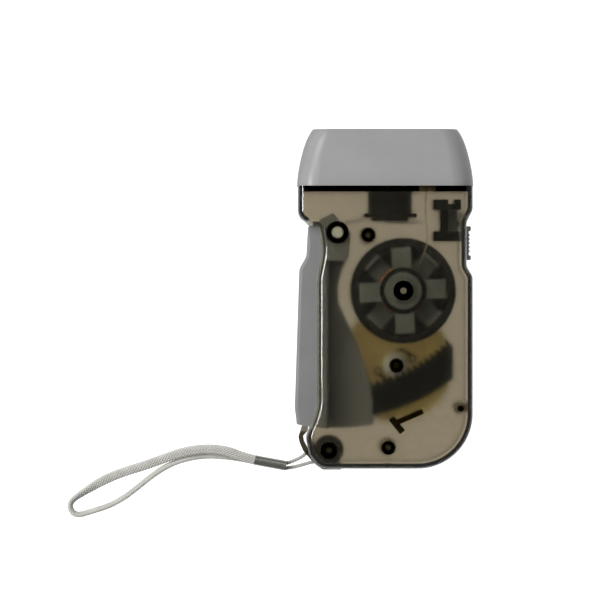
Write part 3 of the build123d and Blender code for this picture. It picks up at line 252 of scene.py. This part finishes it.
def add_noise(tree, scale, detail=3.0):
    """A noise in the object's own coordinates; scale is features per millimetre."""
    place = tree.nodes.new("ShaderNodeTexCoord")
    noise = tree.nodes.new("ShaderNodeTexNoise")
    noise.inputs["Scale"].default_value = scale / MM
    noise.inputs["Detail"].default_value = detail
    tree.links.new(place.outputs["Object"], noise.inputs["Vector"])
    return noise.outputs["Fac"]


def add_range(tree, value, source, target):
    """Maps a value from one range, a low and a high end, to another."""
    ranged = tree.nodes.new("ShaderNodeMapRange")
    ranged.inputs["From Min"].default_value, ranged.inputs["From Max"].default_value = source
    ranged.inputs["To Min"].default_value, ranged.inputs["To Max"].default_value = target
    tree.links.new(value, ranged.inputs["Value"])
    return ranged.outputs["Result"]


def add_ramp(tree, value, stops):
    """Colours a value by its stops, each a position and a colour."""
    ramp = tree.nodes.new("ShaderNodeValToRGB")
    elements = ramp.color_ramp.elements
    for position, _ in stops[1:-1]:
        elements.new(position)
    for element, (position, colour) in zip(elements, stops):
        element.position = position
        element.color = (*colour, 1)
    tree.links.new(value, ramp.inputs["Fac"])
    return ramp.outputs["Color"]


def height_in(tree, coordinates):
    """The height of the shaded point in the named coordinates."""
    place = tree.nodes.new("ShaderNodeTexCoord")
    split = tree.nodes.new("ShaderNodeSeparateXYZ")
    tree.links.new(place.outputs[coordinates], split.inputs["Vector"])
    return split.outputs["Z"]


def tinted(colour, factor):
    return [min(1, share * factor) for share in colour]


NOISE_SPAN = (0.3, 0.7)        # the part of a noise's values that is spread over a whole range
FINISH_DRIFT = 0.15            # how far a solid finish strays from its roughness


def mottled(name, colour, roughness, variation=0.12, grain=1.2, bump=0.01 * MM, metallic=0.0, patch=0.08,
            gloss=0.5):
    """A solid material whose colour drifts in soft patches and whose finish has a fine grain."""
    material, tree, shader = new_material(name)
    low, high = NOISE_SPAN
    tone = add_ramp(tree, add_noise(tree, patch),
                    [(low, tinted(colour, 1 - variation)), (high, tinted(colour, 1 + variation))])
    tree.links.new(tone, shader.inputs["Base Color"])
    fine = add_noise(tree, grain, detail=4.0)
    finish = add_range(tree, fine, NOISE_SPAN,
                       (roughness * (1 - FINISH_DRIFT), min(1, roughness * (1 + FINISH_DRIFT))))
    tree.links.new(finish, shader.inputs["Roughness"])
    relief = tree.nodes.new("ShaderNodeBump")
    relief.inputs["Distance"].default_value = bump
    relief.inputs["Strength"].default_value = 1.0
    tree.links.new(fine, relief.inputs["Height"])
    tree.links.new(relief.outputs["Normal"], shader.inputs["Normal"])
    shader.inputs["Metallic"].default_value = metallic
    shader.inputs["Specular IOR Level"].default_value = gloss
    return material


WALL = 1.8 * MM
CLEAR_IOR = 1.5
CLEAR_DRIFT = 0.04             # how far a clear finish strays from its roughness
CLOUD_SPAN = (0.35, 0.65)
CLOUD_SCALE = 0.45             # faint clouds in the clear plastic, per millimetre
FROST_SCALE = 0.6
POLISH_SHARE = 0.25            # roughness of a polished face as a share of the frosted one's


def see_through(name, roughness, kept=(1, 1, 1), polished=None, haze=0.0, haze_colour=(1, 1, 1), mottle=0.0):
    """Clear plastic, of which one wall lets through the share kept of each colour. polished gives the
    two heights between which its finish changes from frosted to polished."""
    material, tree, shader = new_material(name)
    low, high = CLOUD_SPAN
    tone = add_ramp(tree, add_noise(tree, CLOUD_SCALE, detail=2.0),
                    [(low, tinted(haze_colour, 1 - mottle)), (high, haze_colour)])
    tree.links.new(tone, shader.inputs["Base Color"])
    shader.inputs["Transmission Weight"].default_value = 1.0 - haze
    shader.inputs["IOR"].default_value = CLEAR_IOR
    finish = add_range(tree, add_noise(tree, FROST_SCALE), NOISE_SPAN,
                       (roughness * (1 - CLEAR_DRIFT), roughness * (1 + CLEAR_DRIFT)))
    if polished:
        product = tree.nodes.new("ShaderNodeMath")
        product.operation = "MULTIPLY"
        tree.links.new(finish, product.inputs[0])
        change = add_range(tree, height_in(tree, "Object"), polished, (1.0, POLISH_SHARE))
        tree.links.new(change, product.inputs[1])
        finish = product.outputs["Value"]
    tree.links.new(finish, shader.inputs["Roughness"])
    # Lamps light what the plastic encloses; each of a wall's two faces takes half of the loss.
    passing = tree.nodes.new("ShaderNodeBsdfTransparent")
    passing.inputs["Color"].default_value = (*(math.sqrt(share) for share in kept), 1)
    rays = tree.nodes.new("ShaderNodeLightPath")
    mix = tree.nodes.new("ShaderNodeMixShader")
    tree.links.new(rays.outputs["Is Shadow Ray"], mix.inputs["Fac"])
    tree.links.new(shader.outputs["BSDF"], mix.inputs[1])
    tree.links.new(passing.outputs["BSDF"], mix.inputs[2])
    output = tree.nodes["Material Output"]
    tree.links.new(mix.outputs["Shader"], output.inputs["Surface"])
    if min(kept) < 1:
        losses = [-math.log(share) / WALL for share in kept]
        density = max(losses)
        absorbing = tree.nodes.new("ShaderNodeVolumeAbsorption")
        absorbing.inputs["Color"].default_value = (*(1 - loss / density for loss in losses), 1)
        absorbing.inputs["Density"].default_value = density
        tree.links.new(absorbing.outputs["Volume"], output.inputs["Volume"])
    return material


YARN_SHEEN = 0.25


def cord_material(name, colour):
    """Pale polyester yarn: fine fibres along each strand, a little sheen and grime in patches."""
    material = mottled(name, colour, 0.62, variation=0.1, grain=5.0, bump=0.05 * MM, patch=0.25)
    material.node_tree.nodes["Principled BSDF"].inputs["Sheen Weight"].default_value = YARN_SHEEN
    return material


# Painted shade: grey plastic is darkened where it is seen along its surface, standing in for dimmer light on
# its edges.
SLANT_SPAN = (0.25, 0.9)       # of a face, from nearly square on to nearly along it
PAINTED_EDGE_SHADE_SHARE = 0.75             # how much of the painted edge shade it takes on
PAINTED_EDGE_SHADE_TONE = (0.02, 0.02, 0.02, 1)


def grey_with_painted_edge_shade(name, colour):
    """Satin moulded grey with painted shade: it darkens where it is seen along the surface, in place of
    dimmer light on its edges.
    """
    material = mottled(name, colour, 0.34, variation=0.04, grain=2.5, bump=0.006 * MM, gloss=0.35)
    tree = material.node_tree
    tone = tree.nodes["Principled BSDF"].inputs["Base Color"]
    slant = tree.nodes.new("ShaderNodeLayerWeight")
    slant.inputs["Blend"].default_value = 0.5
    darker = tree.nodes.new("ShaderNodeMix")
    darker.data_type = "RGBA"
    base, dark, mixed = darker.inputs[6], darker.inputs[7], darker.outputs[2]      # its colour sockets
    dark.default_value = PAINTED_EDGE_SHADE_TONE
    tree.links.new(add_range(tree, slant.outputs["Facing"], SLANT_SPAN, (0.0, PAINTED_EDGE_SHADE_SHARE)),
                   darker.inputs["Factor"])
    tree.links.new(tone.links[0].from_socket, base)
    tree.links.new(mixed, tone)
    return material


NYLON_GLOW = 0.6               # share of light that comes through natural nylon


def amber_nylon(name, colour):
    """Natural nylon that lets some of the light behind it through."""
    material = mottled(name, colour, 0.8, variation=0.08)
    material.node_tree.nodes["Principled BSDF"].inputs["Transmission Weight"].default_value = NYLON_GLOW
    return material


# Shares of red, green and blue that one wall lets through.
SMOKE_FRONT = (0.57, 0.555, 0.495)
SMOKE_REAR = (0.76, 0.71, 0.64)
SMOKE_LATCH = (0.28, 0.26, 0.22)
FRONT_FACE = (26.8 * MM, 27.2 * MM)     # the front cover is polished above these heights
materials = {
    # A roughness of 0.26, not 0.28: at 0.28 the denoised picture is full of small specks.
    "smoke_shell": see_through("smoke_shell", 0.26, SMOKE_FRONT, polished=FRONT_FACE, mottle=0.06),
    "smoke_rear": see_through("smoke_rear", 0.3, SMOKE_REAR, haze=0.05, haze_colour=(0.6, 0.56, 0.48),
                              mottle=0.06),
    "smoke_latch": see_through("smoke_latch", 0.2, SMOKE_LATCH),
    "grey_plastic": grey_with_painted_edge_shade("grey_plastic", (0.25, 0.25, 0.25)),
    "lever_plastic": mottled("lever_plastic", (0.175, 0.177, 0.175), 0.42, variation=0.05, grain=2.5,
                             bump=0.006 * MM, gloss=0.3),
    "black_plastic": mottled("black_plastic", (0.004, 0.004, 0.004), 0.6, variation=0.2, grain=2.0,
                             gloss=0.03),
    "amber_plastic": amber_nylon("amber_plastic", (1.0, 0.82, 0.42)),
    "white_plastic": mottled("white_plastic", (0.7, 0.7, 0.67), 0.4, variation=0.05),
    "clear_plastic": see_through("clear_plastic", 0.03),
    "mirror_coat": mottled("mirror_coat", (0.85, 0.85, 0.86), 0.08, variation=0.03, metallic=1.0),
    "steel": mottled("steel", (0.8, 0.79, 0.76), 0.42, variation=0.06, grain=3.0, metallic=1.0),
    "plate_steel": mottled("plate_steel", (0.165, 0.178, 0.17), 0.45, variation=0.12, grain=1.5,
                           metallic=0.6),
    "spring_steel": mottled("spring_steel", (0.45, 0.44, 0.42), 0.3, variation=0.08, metallic=1.0),
    "copper": mottled("copper", (0.85, 0.42, 0.2), 0.34, variation=0.1, metallic=1.0),
    "lead_wire": mottled("lead_wire", (0.5, 0.38, 0.28), 0.4, variation=0.1, metallic=0.8),
    "magnet": mottled("magnet", (0.012, 0.012, 0.012), 0.5, variation=0.15, gloss=0.15),
    "cell_steel": mottled("cell_steel", (0.7, 0.7, 0.71), 0.2, variation=0.05, metallic=1.0),
    "board": mottled("board", (0.03, 0.16, 0.06), 0.4, variation=0.15),
    "rubber_seal": mottled("rubber_seal", (0.02, 0.02, 0.02), 0.7, variation=0.1),
    "loop_cord": cord_material("loop_cord", (0.45, 0.445, 0.41)),
    "string_cord": cord_material("string_cord", (0.34, 0.335, 0.31)),
    "crimp_metal": mottled("crimp_metal", (0.2, 0.197, 0.185), 0.34, variation=0.25, metallic=0.9),
}


def dress(piece, material):
    piece.data.materials.clear()
    piece.data.materials.append(material)


finish_of = {entry["node"]: entry["material_slot"] for entry in frame["record"]["subparts"]}
# Nodes whose slot is shared, but which look a little different.
finish_of.update(rear_cover="smoke_rear", lever="lever_plastic", latch="smoke_latch", coil_lead="lead_wire")
for node, piece in frame["nodes"].items():
    dress(piece, materials[finish_of[node]])
dress(loop, materials["loop_cord"])
dress(string, materials["string_cord"])

# ---------------------------------------------------------------- table and light
TABLE_HALF = 3.0
TABLE_LEVEL = -0.05 * MM       # a little below the flat back, so that no two faces coincide
TABLE_GREY = 0.2
TABLE_GLOW = 1.16              # the table is lit from below, as for a picture without shadows
# Brightness of the studio by the height above the horizon: pale all round, dark straight above.
SKY_LEVELS = [(0.0, 0.12), (0.6, 0.4), (0.9, 0.42), (0.975, 0.0)]


def flat_square(name, half, level):
    work = bmesh.new()
    corners = [work.verts.new((x * half, y * half, level)) for x, y in ((-1, -1), (1, -1), (1, 1), (-1, 1))]
    work.faces.new(corners)
    return link(name, finish_mesh(work, name, smooth=False))


table = flat_square("table", TABLE_HALF, TABLE_LEVEL)
table_top = mottled("table_top", (TABLE_GREY,) * 3, 0.9, variation=0.005, bump=0.0)
table_shader = table_top.node_tree.nodes["Principled BSDF"]
table_shader.inputs["Specular IOR Level"].default_value = 0.0
table_shader.inputs["Emission Color"].default_value = (1, 1, 1, 1)
table_shader.inputs["Emission Strength"].default_value = TABLE_GLOW
# The glow is met by chance rays only: clear plastic passes light to a sampled lamp, and would do so twice.
table_top.cycles.emission_sampling = "NONE"
dress(table, table_top)

world = bpy.data.worlds.new("studio")
bpy.context.scene.world = world
world.use_nodes = True
tree = world.node_tree
sky = add_ramp(tree, height_in(tree, "Generated"), [(height, (level,) * 3) for height, level in SKY_LEVELS])
tree.links.new(sky, tree.nodes["Background"].inputs["Color"])


def softbox(name, place, size, power):
    data = bpy.data.lights.new(name, "AREA")
    data.shape = "SQUARE"
    data.size = size
    data.energy = power
    lamp = bpy.data.objects.new(name, data)
    lamp.location = place
    lamp.rotation_euler = (-Vector(place)).to_track_quat("-Z", "Y").to_euler()
    bpy.context.scene.collection.objects.link(lamp)


softbox("key_softbox", (-0.45, 0.6, 0.8), 0.45, 6)
softbox("left_softbox", (-0.75, 0.1, 0.75), 0.3, 6)
softbox("top_softbox", (-0.2, 0.3, 1.3), 0.3, 2)

bpy.context.scene.view_settings.view_transform = "Standard"
